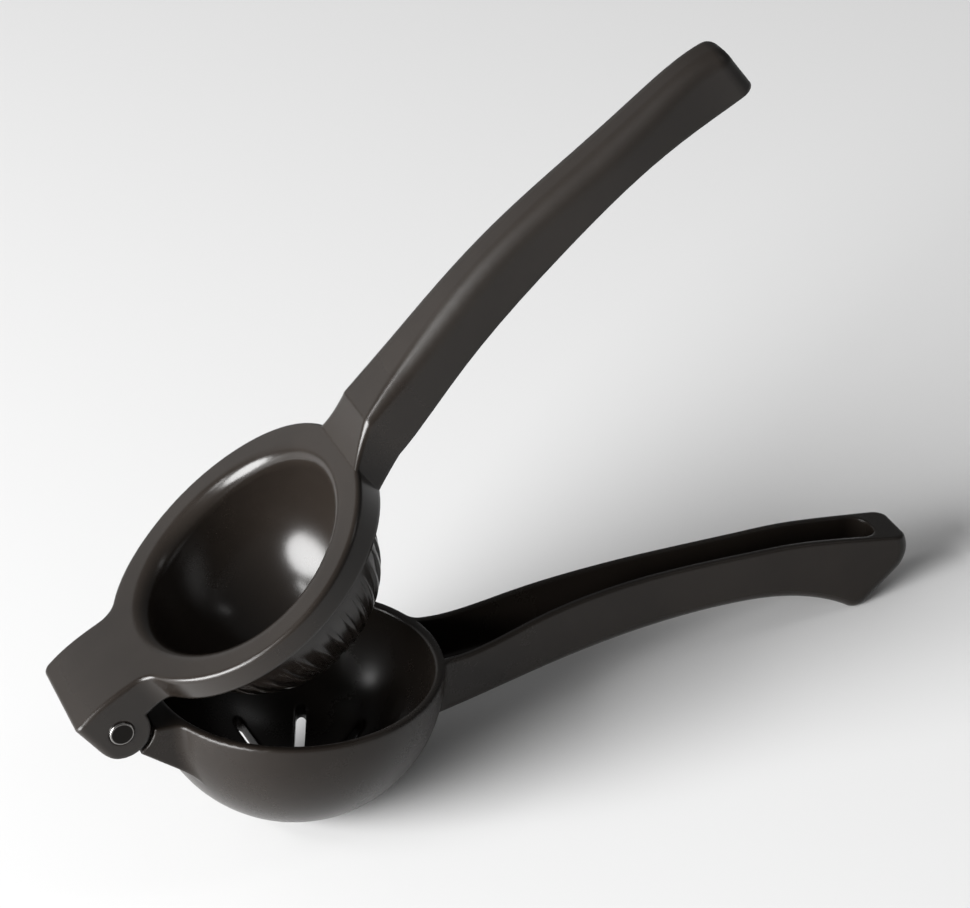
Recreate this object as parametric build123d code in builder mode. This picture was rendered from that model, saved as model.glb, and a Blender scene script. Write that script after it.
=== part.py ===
from build123d import *
from math import asin, atan2, cos, degrees, hypot, pi, radians, sin
import os

# Hand citrus squeezer, standing as it does on a table: on the foot under its cup and the heel of its handle.
# Millimetres. The origin is the middle of the foot, +X runs along the handles, +Y along the hinge pin, +Z up.
# Outlines are measured from the cup's axis and rim. The upper casting is drawn in a rim plane swung open.

# Cup
cup_radius = 36.0
cup_wall = 2.4
cup_floor = 3.4
rim_band = 1.4
rim_round = 0.8
foot_cut = 1.3

# Drain slots round the foot
drain_count = 8
drain_width = 2.6
drain_length = 11.0
drain_place = 17.0

# Hinge
pin_diameter = 6.0
pin_beyond = 11.2
pin_rise = 1.0
pin_proud = 0.5
pin_round = 0.45
pin_clearance = 0.05
hinge_width = 29.2
ear_radius = 7.0
ear_relief = 1.1
knuckle_radius = 6.0
knuckle_width = 13.6
knuckle_side_gap = 0.3
knuckle_swing_gap = 0.6
lug_tip_depth = 2.5
lug_root_round = 3.5
open_angle = 38.4
seat_gap = 0.3

# Lower handle, an open trough on a heel
handle_length = 126.0
lower_crown = 10.0
lower_root_depth = 16.0
lower_width = 12.2
lower_wall = 1.8
lower_floor = 2.2
lower_round = 3.0
lower_root_round = 3.5
lower_edge_round = 0.6
heel_inset = 13.1
heel_drop = 12.0
heel_radius = 4.4
heel_cut = 0.25
heel_back_slope = 32.0
heel_front_slope = 45.0
trough_inset = 7.2
trough_round = 1.6

# Upper casting: press dome, dished flange, hinge plate and channel handle
flange_overhang = 0.4
flange_round = 0.9
dome_gap = 4.3
dome_rise = 0.7
dome_wall = 2.4
dome_floor = 3.0
rib_count = 36
rib_width = 1.5
rib_height = 0.7
rib_top = 74.0
rib_bottom = 32.0
bowl_lip = 4.0
plate_rise = 10.2
plate_corner = 2.0
plate_root_round = 6.0
upper_crown = 23.85
upper_width = 13.6
upper_corner = 4.8
upper_wall = 2.2
upper_end_round = 3.4

overrun = 1.0

# Outlines as shares of the handle beyond the cup, then of the height or half width that each one follows
lower_top_shares = (
    (0.01, 0.0), (0.068, 0.075), (0.19, 0.46), (0.3185, 0.755), (0.4345, 0.9), (0.6655, 1.0), (0.997, 0.71)
)
lower_bottom_shares = (
    (-0.093, 1.06), (0.036, 0.88), (0.2155, 0.633), (0.447, 0.364), (0.6205, 0.272), (0.7815, 0.4)
)
lower_side_shares = (
    (-0.093, 1.93), (0.0615, 1.65), (0.203, 1.31), (0.357, 1.07), (0.55, 0.985), (0.7555, 1.05), (1.0, 1.2)
)
trough_end_share = 1.07
lower_tip_fall_share = 0.12
lower_root_rise_share = 0.2
heel_front_share = 0.878
lug_start_share = 0.75
lug_root_share = 0.475
# Top of plate and flange as shares of the plate's reach or the flange's radius, then of the plate's height
plate_top_shares = ((1.02, 0.91), (0.833, 0.985))
flange_top_shares = ((-1.0, 0.88), (-0.556, 0.655), (0.0, 0.575), (0.556, 0.675), (1.03, 0.965))
# Stations of the upper handle: place, width, top, bottom and top corner
upper_station_shares = (
    (-0.0235, 1.82, 0.365, 0.0126, 0.15),
    (0.0165, 1.44, 0.482, 0.03, 0.25),
    (0.0595, 1.28, 0.617, 0.084, 0.45),
    (0.1115, 1.25, 0.684, 0.13, 0.7),
    (0.199, 1.19, 0.784, 0.235, 0.95),
    (0.3495, 1.05, 0.927, 0.371, 1.0),
    (0.5475, 1.0, 0.995, 0.478, 1.0),
    (0.7855, 0.97, 0.981, 0.503, 1.0),
    (0.992, 0.94, 0.885, 0.367, 1.0),
)
ramp_stations = 3

# Places and sizes that follow the cup
pin_reach = cup_radius + pin_beyond
plate_reach = pin_reach + ear_radius
lug_root_depth = cup_radius * lug_root_share
handle_reach = cup_radius + handle_length
heel_place = handle_reach - heel_inset
trough_end = handle_reach - trough_inset
trough_end_round = (lower_width / 2 - lower_wall) * trough_end_share
flange_radius = cup_radius + flange_overhang
dome_radius = cup_radius - cup_wall - dome_gap

# How far the rim leans once foot and heel both stand on the table
foot_height = cup_radius - foot_cut
heel_centre = (heel_place, heel_radius - heel_drop)
heel_rise = heel_centre[1] + rim_band
heel_height = heel_radius - heel_cut
heel_span = hypot(heel_place, heel_rise)
rest_lean = degrees(asin((foot_height - heel_height) / heel_span) + atan2(heel_rise, heel_place))

pin_radius = pin_diameter / 2
pin_local = (-pin_reach, pin_rise)


def casting_plane(lean, pivot, reach, rise):
    """Rim plane of a casting that leans so far, its axis so far along and its rim so far below a pivot."""
    along = Vector(cos(radians(lean)), 0, -sin(radians(lean)))
    up = Vector(sin(radians(lean)), 0, cos(radians(lean)))
    return Plane(origin=pivot + along * reach - up * rise, x_dir=along, z_dir=up)


def middle_plane(rim):
    """Upright middle plane of a casting: first coordinate along the handle, second up from the rim."""
    return Plane(origin=rim.origin, x_dir=rim.x_dir, z_dir=(0, -1, 0))


def spread(shares, start, along, up):
    """Points of an outline from its shares, the places measured from a start."""
    return [(start + place * along, height * up) for place, height in shares]


def middle(edge, rim):
    """Middle of an edge, measured from a casting's cup axis and rim."""
    return rim.to_local_coords(edge.position_at(0.5))


low_rim = casting_plane(rest_lean, Vector(0, 0, foot_height), 0, -rim_band)
low_side = middle_plane(low_rim)
low_axis = Axis(low_rim.origin, low_rim.z_dir)
pin_place = low_rim.from_local_coords(Vector(-pin_reach, 0, pin_rise))
top_rim = casting_plane(rest_lean - open_angle, pin_place, pin_reach, pin_rise)
top_side = middle_plane(top_rim)
top_axis = Axis(top_rim.origin, top_rim.z_dir)

lower_bottom = spread(lower_bottom_shares, cup_radius, handle_length, -lower_root_depth)
lower_half = spread(lower_side_shares, cup_radius, handle_length, lower_width / 2)


def bowl_outline(radius, centre, top):
    """Half outline of a round-bottomed bowl, for a sketch: a ball up to its centre, then straight up."""
    with BuildLine() as outline:
        base = (0, centre - radius)
        ball = RadiusArc(base, (radius, centre), -radius)
        Polyline(ball @ 1, (radius, top), (0, top), base)
    make_face(outline.edges())


def lug_outline():
    """Side of the hinge lug, for a sketch: level with the rim on top, sloping down to the cup below."""
    start = -cup_radius * lug_start_share
    Polygon((start, 0), (-pin_reach, 0), (-pin_reach, -lug_tip_depth), (start, -lug_root_depth), align=None)


# Outside of the cup, also what keeps the trough out of the cup's wall
with BuildPart() as cup_body:
    with BuildSketch(low_side):
        bowl_outline(cup_radius, -rim_band, 0)
    revolve(axis=low_axis)

# Hollow of the lower handle: its floor follows the underside, within the waisted plan
with BuildPart() as trough:
    with BuildSketch(low_side.offset(-cup_radius)):
        with BuildLine():
            raised = [(place, height + lower_floor) for place, height in lower_bottom]
            floor = Spline(*raised, (handle_reach, raised[-1][1]))
            Polyline(floor @ 1, (handle_reach, cup_radius), (raised[0][0], cup_radius), floor @ 0)
        make_face()
    extrude(amount=2 * cup_radius)
    with BuildSketch(low_rim.offset(-cup_radius)) as trough_plan:
        with BuildLine():
            inside = Spline(*[(place, half - lower_wall) for place, half in lower_half])
            Line(inside @ 1, ((inside @ 1).X, 0))
            Line(((inside @ 0).X, 0), inside @ 0)
            mirror(about=Plane.XZ)
        make_face()
        with Locations((trough_end, 0)):
            Rectangle(handle_reach, handle_reach, align=(Align.MIN, Align.CENTER), mode=Mode.SUBTRACT)
        fillet(trough_plan.vertices().group_by(Axis.X)[-1], trough_end_round)
    extrude(amount=2 * cup_radius, mode=Mode.INTERSECT)
    floor_edges = trough.faces().sort_by(low_axis)[0].edges()
    fillet(floor_edges.filter_by(lambda edge: middle(edge, low_rim).X > cup_radius), trough_round)
    add(cup_body.part, mode=Mode.SUBTRACT)

# Lower casting: cup, trough handle on its heel, hinge lug and knuckle
with BuildPart() as lower_casting:
    # Handle: side outline with crown, waist and heel, narrowed to the waisted plan
    with BuildSketch(low_side.offset(-cup_radius)):
        with BuildLine():
            lower_top = spread(lower_top_shares, cup_radius, handle_length, lower_crown)
            crown = Spline(*lower_top, tangents=[(1, 0), (1, -lower_tip_fall_share)])
            heel_turn = heel_back_slope + heel_front_slope
            heel = CenterArc(heel_centre, heel_radius, 270 - heel_back_slope, heel_turn)
            underside = Spline(*lower_bottom, heel @ 0, tangents=[(1, lower_root_rise_share), heel % 0])
            front = PolarLine(heel @ 1, heel_inset * heel_front_share, angle=heel_front_slope)
            TangentArc(front @ 1, crown @ 1, tangent=front % 1)
            Polyline(crown @ 0, (lower_bottom[0][0], 0), underside @ 0)
        make_face()
    extrude(amount=2 * cup_radius)
    with BuildSketch(low_rim.offset(-cup_radius)):
        with BuildLine():
            outside = Spline(*lower_half)
            corner = outside @ 1 + Vector(overrun, 0)
            Polyline(outside @ 1, corner, (corner.X, 0))
            Line(((outside @ 0).X, 0), outside @ 0)
            mirror(about=Plane.XZ)
        make_face()
    extrude(amount=2 * cup_radius, mode=Mode.INTERSECT)
    long_edges = [
        edge for edge in lower_casting.edges()
        if middle(edge, low_rim).Z < 0
        and middle(edge, low_rim).X > cup_radius
        and abs(middle(edge, low_rim).Y) > lower_width / 4
    ]
    fillet(long_edges, lower_round)

    # Cup, with a fillet where the handle runs into it
    add(cup_body.part)
    root_edges = [
        edge for edge in lower_casting.edges().filter_by(GeomType.BSPLINE)
        if middle(edge, low_rim).Z < -rim_band / 4 and 0 < middle(edge, low_rim).X < cup_radius
    ]
    fillet(root_edges, lower_root_round)

    # Hinge lug, hollowed round the ears, with its own fillet into the cup
    with BuildSketch(low_side.offset(-hinge_width / 2)):
        lug_outline()
    extrude(amount=hinge_width)
    lug_edges = [
        edge for edge in lower_casting.edges()
        if -cup_radius < middle(edge, low_rim).X < -cup_radius * lug_start_share
        and middle(edge, low_rim).Z < -rim_band / 4
        and abs(middle(edge, low_rim).Y) < hinge_width * lug_start_share
    ]
    fillet(lug_edges, lug_root_round)

    # Upper edges of rim, handle and lug, all in one run
    upper_edges = [
        edge for edge in lower_casting.edges()
        if middle(edge, low_rim).Z > -rim_band / 4
        and (abs(middle(edge, low_rim).Y) > lower_width / 4 or middle(edge, low_rim).X > heel_place)
        and (middle(edge, low_rim).X < heel_place or middle(edge, low_rim).Z > lower_crown / 2)
    ]
    fillet(upper_edges, lower_edge_round)
    with BuildSketch(low_side.offset(-hinge_width)):
        with Locations(pin_local):
            Circle(ear_radius + ear_relief)
    extrude(amount=2 * hinge_width, mode=Mode.SUBTRACT)

    # Knuckle between the ears
    with BuildSketch(low_side.offset(-knuckle_width / 2)):
        lug_outline()
        with Locations(pin_local):
            Circle(knuckle_radius)
    extrude(amount=knuckle_width)

    # Hollows: cup, trough, drain slots and pin bore
    with BuildSketch(low_side):
        bowl_outline(cup_radius - cup_wall, cup_floor - cup_wall - rim_band, cup_radius)
    revolve(axis=low_axis, mode=Mode.SUBTRACT)
    circles = lower_casting.edges().filter_by(GeomType.CIRCLE)
    inner_circles = circles.filter_by(lambda edge: edge.length > pi * cup_radius)
    fillet(inner_circles.sort_by(low_axis)[-1], rim_round)
    add(trough.part, mode=Mode.SUBTRACT)
    with BuildSketch(low_rim.offset(-2 * cup_radius)):
        with PolarLocations(drain_place, drain_count, start_angle=180 / drain_count):
            SlotOverall(drain_length, drain_width)
    extrude(amount=2 * cup_radius - rim_band, mode=Mode.SUBTRACT)
    with BuildSketch(low_side.offset(-hinge_width)):
        with Locations(pin_local):
            Circle(pin_radius + pin_clearance)
    extrude(amount=2 * hinge_width, mode=Mode.SUBTRACT)

    # The table plane cuts the foot and takes the round off the heel
    split(bisect_by=Plane.XY, keep=Keep.TOP)


def on_dome(angle, rise):
    """Point this far round the press dome from its lowest point, and this far off its surface."""
    reach = dome_radius + rise
    return reach * sin(radians(angle)), dome_rise - reach * cos(radians(angle))


def rib_outline():
    """Side of a rib of the press dome, for a sketch: an arc that rises off the dome and meets it again."""
    with BuildLine() as outline:
        crest = (rib_top + rib_bottom) / 2
        root = -dome_wall / 2
        outer = ThreePointArc(on_dome(rib_top, 0), on_dome(crest, rib_height), on_dome(rib_bottom, 0))
        inner = ThreePointArc(on_dome(rib_top, root), on_dome(crest, root), on_dome(rib_bottom, root))
        Line(outer @ 0, inner @ 0)
        Line(outer @ 1, inner @ 1)
    make_face(outline.edges())


def rib_plane(turn):
    """Upright plane through the press dome's axis, turned round that axis."""
    outward = top_rim.x_dir * cos(radians(turn)) + top_rim.y_dir * sin(radians(turn))
    return Plane(origin=top_rim.origin, x_dir=outward, z_dir=outward.cross(top_rim.z_dir))


def upper_sections(inset, stations):
    """Sections of the upper handle, drawn in by an inset and then run out below."""
    sections = []
    for place, width, top, bottom, corner in stations:
        origin = top_rim.from_local_coords(Vector(cup_radius + place * handle_length, 0, 0))
        high = top * upper_crown - inset
        low = bottom * upper_crown - (overrun if inset else 0)
        with BuildSketch(Plane(origin=origin, x_dir=(0, 1, 0), z_dir=top_rim.x_dir)) as section:
            with Locations((0, low)):
                Rectangle(width * upper_width - 2 * inset, high - low, align=(Align.CENTER, Align.MIN))
            fillet(section.vertices().group_by(Axis.Y)[-1], corner * max(upper_corner - inset, inset / 2))
        sections.append(section.sketch)
    return sections


# Upper handle: an arched bar, rounded over its end, on the ramp that lifts it off the flange
with BuildPart() as upper_handle:
    loft(upper_sections(0, upper_station_shares[ramp_stations - 1:]))
    end_face = upper_handle.faces().sort_by(Axis(top_rim.origin, top_rim.x_dir))[-1]
    fillet(end_face.edges().sort_by(Axis(top_rim.origin, top_rim.z_dir))[1:], upper_end_round)
    loft(upper_sections(0, upper_station_shares[:ramp_stations]))

# Its hollow, open below
with BuildPart() as channel:
    loft(upper_sections(upper_wall, upper_station_shares[ramp_stations - 1:-1]))

# Upper casting: flange with hinge plate, press dome, handle
with BuildPart() as upper_casting:
    # Flange and plate: plan outline under the dished top, with ears round the pin
    with BuildSketch(top_rim.offset(-upper_crown)) as flange_plan:
        Circle(flange_radius)
        Rectangle(plate_reach, hinge_width, align=(Align.MAX, Align.CENTER))
        fillet(flange_plan.vertices().group_by(Axis.X)[0], plate_corner)
        fillet(
            flange_plan.vertices().filter_by(lambda vertex: -flange_radius < vertex.X < 0), plate_root_round
        )
    extrude(amount=2 * upper_crown)
    with BuildSketch(top_side.offset(-flange_radius - overrun)):
        with BuildLine():
            plate_top = spread(plate_top_shares, 0, -plate_reach, plate_rise)
            dish = Spline(*plate_top, *spread(flange_top_shares, 0, flange_radius, plate_rise))
            ear_turn = 180 - degrees(asin((pin_rise - seat_gap) / ear_radius))
            ear = CenterArc(pin_local, ear_radius, 180, ear_turn)
            Polyline(dish @ 0, ((dish @ 0).X, pin_rise), ear @ 0)
            Polyline(ear @ 1, ((dish @ 1).X, seat_gap), dish @ 1)
        make_face()
    extrude(amount=2 * (flange_radius + overrun), mode=Mode.INTERSECT)
    fillet(upper_casting.faces().sort_by(top_axis)[-1].edges(), flange_round)

    # Press dome under the flange, hollow inside, with a rolled lip round the hollow
    with BuildSketch(top_side):
        bowl_outline(dome_radius, dome_rise, dome_rise + dome_wall)
    revolve(axis=top_axis)
    with BuildSketch(top_side):
        bowl_outline(dome_radius - dome_wall, dome_rise + dome_floor - dome_wall, upper_crown)
    revolve(axis=top_axis, mode=Mode.SUBTRACT)
    holed_faces = upper_casting.faces().filter_by(lambda face: len(face.inner_wires()) > 0)
    fillet(holed_faces.sort_by(top_axis)[-1].inner_wires()[0].edges(), bowl_lip)
    with BuildSketch(*[rib_plane(360 * count / rib_count) for count in range(rib_count)]):
        rib_outline()
    extrude(amount=rib_width / 2, both=True)

    # Handle, hollow below
    add(upper_handle.part)
    add(channel.part, mode=Mode.SUBTRACT)

    # Room for the knuckle between the ears, open at the back so that the lug can swing through
    swing_radius = knuckle_radius + knuckle_swing_gap
    ear_reach = ear_radius + overrun
    with BuildSketch(top_side.offset(-knuckle_width / 2 - knuckle_side_gap)):
        with Locations(pin_local):
            Circle(swing_radius)
        with Locations((-pin_reach, pin_rise + swing_radius)):
            Rectangle(ear_reach, swing_radius + ear_reach, align=(Align.MAX, Align.MAX))
        with Locations((-pin_reach, seat_gap)):
            Rectangle(ear_reach, ear_reach, align=(Align.MIN, Align.MAX))
    extrude(amount=knuckle_width + 2 * knuckle_side_gap, mode=Mode.SUBTRACT)
    with BuildSketch(top_side.offset(-hinge_width)):
        with Locations(pin_local):
            Circle(pin_radius)
    extrude(amount=2 * hinge_width, mode=Mode.SUBTRACT)

# Hinge pin, held in the ears, free in the knuckle
with BuildPart() as hinge_pin:
    pin_length = hinge_width + 2 * pin_proud
    pin_start = pin_place - Vector(0, pin_length / 2, 0)
    with BuildSketch(Plane(origin=pin_start, x_dir=(1, 0, 0), z_dir=(0, 1, 0))):
        Circle(pin_radius)
    extrude(amount=pin_length)
    fillet(hinge_pin.edges().filter_by(GeomType.CIRCLE), pin_round)

os.makedirs("parts", exist_ok=True)
lower_casting.part.label = "lower_casting"
export_step(lower_casting.part, "parts/lower_casting.step")
upper_casting.part.label = "upper_casting"
export_step(upper_casting.part, "parts/upper_casting.step")
hinge_pin.part.label = "hinge_pin"
export_step(hinge_pin.part, "parts/hinge_pin.step")
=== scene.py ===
import bpy
from math import pi, radians
from mathutils import Matrix, Vector


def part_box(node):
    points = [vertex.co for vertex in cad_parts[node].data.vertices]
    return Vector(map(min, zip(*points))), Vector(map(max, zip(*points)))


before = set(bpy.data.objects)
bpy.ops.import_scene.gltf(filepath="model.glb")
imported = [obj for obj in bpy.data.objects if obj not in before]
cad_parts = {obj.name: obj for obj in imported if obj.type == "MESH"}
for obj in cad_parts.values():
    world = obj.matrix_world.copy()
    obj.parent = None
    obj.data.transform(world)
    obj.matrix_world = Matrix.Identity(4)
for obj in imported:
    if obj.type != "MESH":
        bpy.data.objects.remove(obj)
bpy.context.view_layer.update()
scene = bpy.context.scene
bpy.ops.object.select_all(action="DESELECT")

# Lower casting: strainer cup, trough handle and hinge lug, poured in one piece of aluminium.
# It is shot-blasted and sprayed brown-black. The paint dries satin with a faint ripple and is paler where
# it is thin. The casting stands on the foot of the cup and on the heel of the handle.

cup_middle = Vector((0, 0, 0.034))


def add_node(tree, kind, **values):
    """A shader node with its settings and the values of its unlinked inputs."""
    node = tree.nodes.new(kind)
    for name, value in values.items():
        if name in node.inputs:
            node.inputs[name].default_value = value
        else:
            setattr(node, name, value)
    return node


def smooth_step(tree, low=0.0, high=1.0):
    """A node that rises smoothly from 0 to 1 while its value goes from low to high."""
    step = add_node(tree, "ShaderNodeMapRange", interpolation_type="SMOOTHSTEP")
    step.inputs["From Min"].default_value = low
    step.inputs["From Max"].default_value = high
    return step


def new_group(name, inputs, outputs):
    """An empty shader node group with named sockets, and its two end nodes."""
    group = bpy.data.node_groups.new(name, "ShaderNodeTree")
    for socket, kind, value in inputs:
        group.interface.new_socket(socket, in_out="INPUT", socket_type=kind).default_value = value
    for socket, kind in outputs:
        group.interface.new_socket(socket, in_out="OUTPUT", socket_type=kind)
    return group, group.nodes.new("NodeGroupInput"), group.nodes.new("NodeGroupOutput")


def sprayed_skin():
    """Height of sprayed paint over a blasted casting: a soft ripple with fine grit under it."""
    group, start, end = new_group(
        "sprayed_skin",
        [
            ("Ripple Scale", "NodeSocketFloat", 500.0),
            ("Grit Scale", "NodeSocketFloat", 3000.0),
            ("Grit", "NodeSocketFloat", 0.15),
        ],
        [("Height", "NodeSocketFloat")],
    )
    link = group.links.new
    place = add_node(group, "ShaderNodeTexCoord")
    ripple = add_node(group, "ShaderNodeTexNoise", Detail=2.0, Roughness=0.4)
    grit = add_node(group, "ShaderNodeTexNoise", Detail=3.0, Roughness=0.6)
    both = add_node(group, "ShaderNodeMix", data_type="FLOAT")
    link(place.outputs["Object"], ripple.inputs["Vector"])
    link(place.outputs["Object"], grit.inputs["Vector"])
    link(start.outputs["Ripple Scale"], ripple.inputs["Scale"])
    link(start.outputs["Grit Scale"], grit.inputs["Scale"])
    link(start.outputs["Grit"], both.inputs["Factor"])
    link(ripple.outputs["Fac"], both.inputs["A"])
    link(grit.outputs["Fac"], both.inputs["B"])
    link(both.outputs["Result"], end.inputs["Height"])
    return group


def paint_depth():
    """Slow change of the paint's thickness: thin paint is paler and drier, the grip has its own gloss."""
    group, start, end = new_group(
        "paint_depth",
        [
            ("Patch Scale", "NodeSocketFloat", 30.0),
            ("Speckle Scale", "NodeSocketFloat", 2200.0),
            ("Full Colour", "NodeSocketColor", (0.0104, 0.0082, 0.0067, 1)),
            ("Thin Colour", "NodeSocketColor", (0.0138, 0.0110, 0.0090, 1)),
            ("Full Roughness", "NodeSocketFloat", 0.25),
            ("Thin Roughness", "NodeSocketFloat", 0.29),
            ("Grip Roughness", "NodeSocketFloat", 0.27),
            ("Bowl Place", "NodeSocketVector", (0, 0, 0)),
            ("Grip Start", "NodeSocketFloat", 0.042),
            ("Grip Full", "NodeSocketFloat", 0.075),
        ],
        [("Colour", "NodeSocketColor"), ("Roughness", "NodeSocketFloat")],
    )
    link = group.links.new
    place = add_node(group, "ShaderNodeTexCoord")
    patches = add_node(group, "ShaderNodeTexNoise", Detail=5.0, Roughness=0.55)
    speckle = add_node(group, "ShaderNodeTexNoise", Detail=2.0)
    mottle = add_node(group, "ShaderNodeMix", data_type="FLOAT", Factor=0.12)
    thin = smooth_step(group, low=0.35, high=0.65)
    colour = add_node(group, "ShaderNodeMix", data_type="RGBA")
    gloss = add_node(group, "ShaderNodeMix", data_type="FLOAT")
    link(place.outputs["Object"], patches.inputs["Vector"])
    link(place.outputs["Object"], speckle.inputs["Vector"])
    link(start.outputs["Patch Scale"], patches.inputs["Scale"])
    link(start.outputs["Speckle Scale"], speckle.inputs["Scale"])
    link(patches.outputs["Fac"], mottle.inputs["A"])
    link(speckle.outputs["Fac"], mottle.inputs["B"])
    link(mottle.outputs["Result"], thin.inputs["Value"])
    link(thin.outputs["Result"], colour.inputs["Factor"])
    link(start.outputs["Full Colour"], colour.inputs["A"])
    link(start.outputs["Thin Colour"], colour.inputs["B"])
    link(colour.outputs["Result"], end.inputs["Colour"])
    link(thin.outputs["Result"], gloss.inputs["Factor"])
    link(start.outputs["Full Roughness"], gloss.inputs["A"])
    link(start.outputs["Thin Roughness"], gloss.inputs["B"])

    reach = add_node(group, "ShaderNodeVectorMath", operation="DISTANCE")
    grip = smooth_step(group)
    handled = add_node(group, "ShaderNodeMix", data_type="FLOAT")
    link(place.outputs["Object"], reach.inputs[0])
    link(start.outputs["Bowl Place"], reach.inputs[1])
    link(reach.outputs["Value"], grip.inputs["Value"])
    link(start.outputs["Grip Start"], grip.inputs["From Min"])
    link(start.outputs["Grip Full"], grip.inputs["From Max"])
    link(grip.outputs["Result"], handled.inputs["Factor"])
    link(gloss.outputs["Result"], handled.inputs["A"])
    link(start.outputs["Grip Roughness"], handled.inputs["B"])
    link(handled.outputs["Result"], end.inputs["Roughness"])
    return group


def new_material(name):
    """A material and its Principled shader."""
    material = bpy.data.materials.new(name)
    material.use_nodes = True
    return material, material.node_tree.nodes["Principled BSDF"]


sprayed_skin_group = sprayed_skin()
paint_depth_group = paint_depth()
ripple_height = 0.000004
edge_round = 0.0012


def casting_paint(name, shine, **depth):
    """Satin paint: colour and gloss from its depth, bump from its skin, edges that shade as if rounded."""
    material, shader = new_material(name)
    tree = material.node_tree
    link = tree.links.new
    shader.inputs["Specular IOR Level"].default_value = shine
    layer = add_node(tree, "ShaderNodeGroup", node_tree=paint_depth_group)
    for socket, value in depth.items():
        layer.inputs[socket.replace("_", " ").title()].default_value = value
    skin = add_node(tree, "ShaderNodeGroup", node_tree=sprayed_skin_group)
    edges = add_node(tree, "ShaderNodeBevel", samples=8, Radius=edge_round)
    bump = add_node(tree, "ShaderNodeBump", Strength=1.0, Distance=ripple_height)
    link(layer.outputs["Colour"], shader.inputs["Base Color"])
    link(layer.outputs["Roughness"], shader.inputs["Roughness"])
    link(skin.outputs["Height"], bump.inputs["Height"])
    link(edges.outputs["Normal"], bump.inputs["Normal"])
    link(bump.outputs["Normal"], shader.inputs["Normal"])
    return material


def dress(node, material):
    """Gives a CAD node this material in place of the plain one that it was packed with."""
    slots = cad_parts[node].data.materials
    slots.clear()
    slots.append(material)


dress("lower_casting", casting_paint("lower_paint", shine=0.23, bowl_place=cup_middle))

# Upper casting: press dome under a dished flange, hinge plate and arched channel handle, in the same alloy.
# It hangs on the pin by its two ears, in paint of the same colour. Its gloss is fitted to the highlights in
# the photograph: more shine than on the lower casting, and a duller grip.

dome_middle = Vector((-0.005, 0, 0.074))
upper_paint = casting_paint(
    "upper_paint",
    shine=0.34,
    bowl_place=dome_middle,
    full_roughness=0.2,
    thin_roughness=0.24,
    grip_roughness=0.42,
)
dress("upper_casting", upper_paint)

# Hinge pin: a plain steel pin pressed through the two ears, its ends faced on a lathe and rounded over.
# The steel is blackened. Round its rounded edge it is painted paler and glossier, a painted highlight ring.

pin_low, pin_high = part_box("hinge_pin")
pin_middle = (pin_low + pin_high) / 2
pin_radius = (pin_high.z - pin_low.z) / 2
ring_height = 0.00002
blackened = (0.014, 0.013, 0.012, 1)
# Paler, glossier steel painted round the pin's rim as a highlight ring.
pin_rim_highlight_colour = (0.3, 0.29, 0.28, 1)
blackened_roughness = 0.45
pin_rim_highlight_roughness = 0.22


def turned_end():
    """Distance from a pin's axis as a mask of its rim, where a highlight is painted, and the tool's fine
    rings.
    """
    group, start, end = new_group(
        "turned_end",
        [
            ("Axis Place", "NodeSocketVector", (0, 0, 0)),
            ("Radius", "NodeSocketFloat", 0.003),
            ("Ring Scale", "NodeSocketFloat", 900.0),
        ],
        [("Rim", "NodeSocketFloat"), ("Rings", "NodeSocketFloat")],
    )
    link = group.links.new
    place = add_node(group, "ShaderNodeTexCoord")
    centred = add_node(group, "ShaderNodeVectorMath", operation="SUBTRACT")
    flat = add_node(group, "ShaderNodeVectorMath", operation="MULTIPLY")
    flat.inputs[1].default_value = (1, 0, 1)
    reach = add_node(group, "ShaderNodeVectorMath", operation="LENGTH")
    share = add_node(group, "ShaderNodeMath", operation="DIVIDE")
    rim = smooth_step(group, low=0.8, high=0.93)
    rings = add_node(
        group, "ShaderNodeTexWave", wave_type="RINGS", rings_direction="Y", Distortion=0.4, Detail=1.0
    )
    link(place.outputs["Object"], centred.inputs[0])
    link(start.outputs["Axis Place"], centred.inputs[1])
    link(centred.outputs["Vector"], flat.inputs[0])
    link(flat.outputs["Vector"], reach.inputs[0])
    link(reach.outputs["Value"], share.inputs[0])
    link(start.outputs["Radius"], share.inputs[1])
    link(share.outputs["Value"], rim.inputs["Value"])
    link(rim.outputs["Result"], end.inputs["Rim"])
    link(flat.outputs["Vector"], rings.inputs["Vector"])
    link(start.outputs["Ring Scale"], rings.inputs["Scale"])
    link(rings.outputs["Fac"], end.inputs["Rings"])
    return group


def pin_metal():
    """Blackened steel with a painted highlight on its rim: colour and roughness follow the rim, bump the
    rings.
    """
    material, shader = new_material("pin_steel")
    tree = material.node_tree
    link = tree.links.new
    shader.inputs["Metallic"].default_value = 1.0
    turned = add_node(tree, "ShaderNodeGroup", node_tree=turned_end())
    turned.inputs["Axis Place"].default_value = pin_middle
    turned.inputs["Radius"].default_value = pin_radius
    colour = add_node(tree, "ShaderNodeMix", data_type="RGBA", A=blackened, B=pin_rim_highlight_colour)
    gloss = add_node(tree, "ShaderNodeMix", data_type="FLOAT", A=blackened_roughness, B=pin_rim_highlight_roughness)
    bump = add_node(tree, "ShaderNodeBump", Strength=0.3, Distance=ring_height)
    link(turned.outputs["Rim"], colour.inputs["Factor"])
    link(turned.outputs["Rim"], gloss.inputs["Factor"])
    link(turned.outputs["Rings"], bump.inputs["Height"])
    link(colour.outputs["Result"], shader.inputs["Base Color"])
    link(gloss.outputs["Result"], shader.inputs["Roughness"])
    link(bump.outputs["Normal"], shader.inputs["Normal"])
    return material


dress("hinge_pin", pin_metal())

# Table: a plain pale sheet, matt, much larger than the view.
# It is not part of the object. It takes the object's shadow and throws light back up at it.

table_side = 6
table_colour = (0.68, 0.68, 0.68, 1)
table_roughness = 0.6

bpy.ops.mesh.primitive_plane_add(size=table_side, location=(0, 0, 0))
table = bpy.context.object
table.name = "table"
table_white, table_shader = new_material("table_white")
table_shader.inputs["Base Color"].default_value = table_colour
table_shader.inputs["Roughness"].default_value = table_roughness
table.data.materials.append(table_white)

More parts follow.
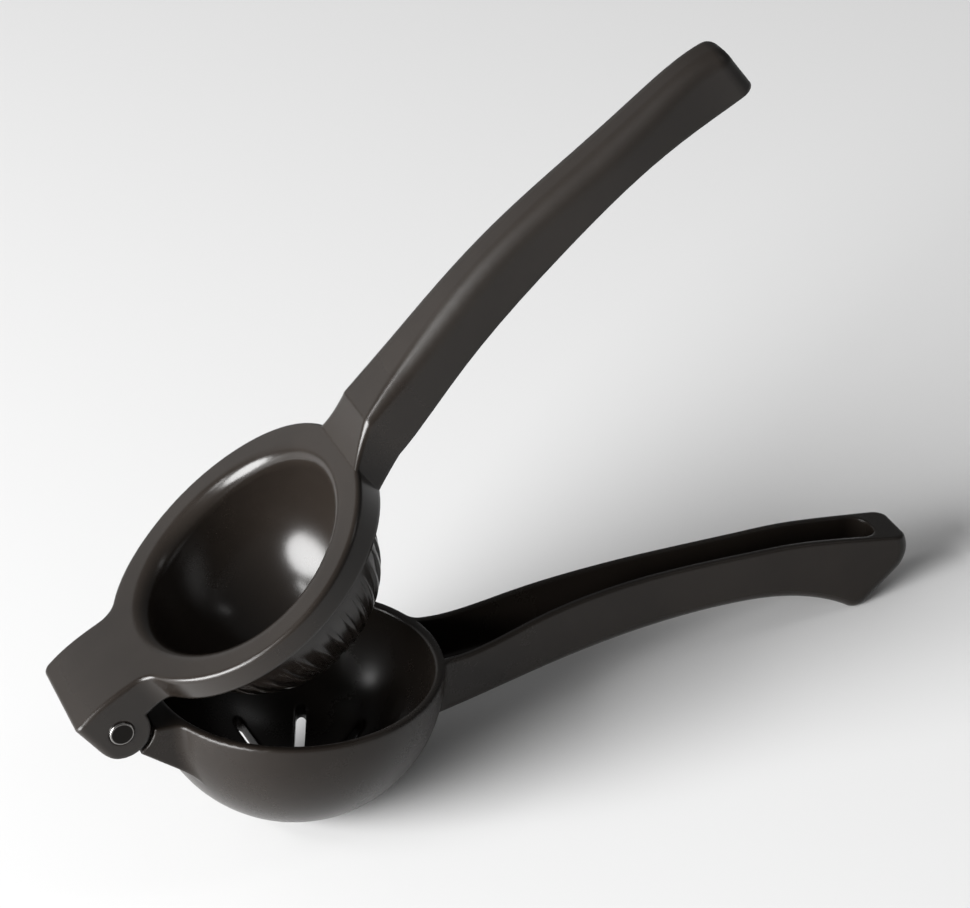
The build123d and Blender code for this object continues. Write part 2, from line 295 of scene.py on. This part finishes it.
# Studio light: one large softbox low at the left with a short strip above it, a pale panel behind the object
# and a narrow strip high at the right. The room beyond them is dim, and the softbox makes the table nearly
# white, most of all on its own side.

room_colour = (1, 1, 1, 1)
room_strength = 0.16
light_aim = Vector((0, 0, 0.06))

scene.view_settings.view_transform = "Standard"
world = bpy.data.worlds.new("studio")
scene.world = world
world.use_nodes = True
background = world.node_tree.nodes["Background"]
background.inputs["Color"].default_value = room_colour
background.inputs["Strength"].default_value = room_strength


def softbox(name, bearing, height, distance, size, watts):
    """A lit oval panel that faces the object: bearing and height in degrees, distance and size in metres."""
    turn = Matrix.Rotation(radians(bearing), 3, "Z")
    lift = Matrix.Rotation(radians(-height), 3, "X")
    away = turn @ lift @ Vector((0, -1, 0))
    light = bpy.data.lights.new(name, "AREA")
    light.shape = "ELLIPSE"
    light.size, light.size_y = size
    light.energy = watts
    lamp = bpy.data.objects.new(name, light)
    scene.collection.objects.link(lamp)
    lamp.location = light_aim + away * distance
    lamp.rotation_euler = away.to_track_quat("Z", "Y").to_euler()


softbox("left_softbox", bearing=-78, height=17, distance=2.2, size=(1.9, 1.5), watts=197)
softbox("edge_strip", bearing=-92, height=44, distance=2.2, size=(0.8, 0.2), watts=8.04)
softbox("back_wall", bearing=-153, height=22, distance=2.0, size=(2.2, 1.0), watts=3.11)
softbox("right_strip", bearing=63, height=46, distance=2.0, size=(0.25, 1.1), watts=1.555)

# Camera: a long lens at the side of the object, a little towards its hinge, looking down and rolled as in the
# photograph. Its place and lens were fitted to the rims, the hinge and the handles.

sensor_width = 36
focal_length = 121.24
camera_place = (-0.138463, -0.626680, 0.489029)
camera_bearing = radians(-17.2257)
camera_drop = radians(32.1598)
camera_roll = radians(-9.1789)

camera = bpy.data.objects.new("camera", bpy.data.cameras.new("camera"))
scene.collection.objects.link(camera)
camera.data.sensor_fit = "HORIZONTAL"
camera.data.sensor_width = sensor_width
camera.data.lens = focal_length
camera.matrix_world = (
    Matrix.Translation(camera_place)
    @ Matrix.Rotation(camera_bearing, 4, "Z")
    @ Matrix.Rotation(pi / 2 - camera_drop, 4, "X")
    @ Matrix.Rotation(camera_roll, 4, "Z")
)
scene.camera = camera
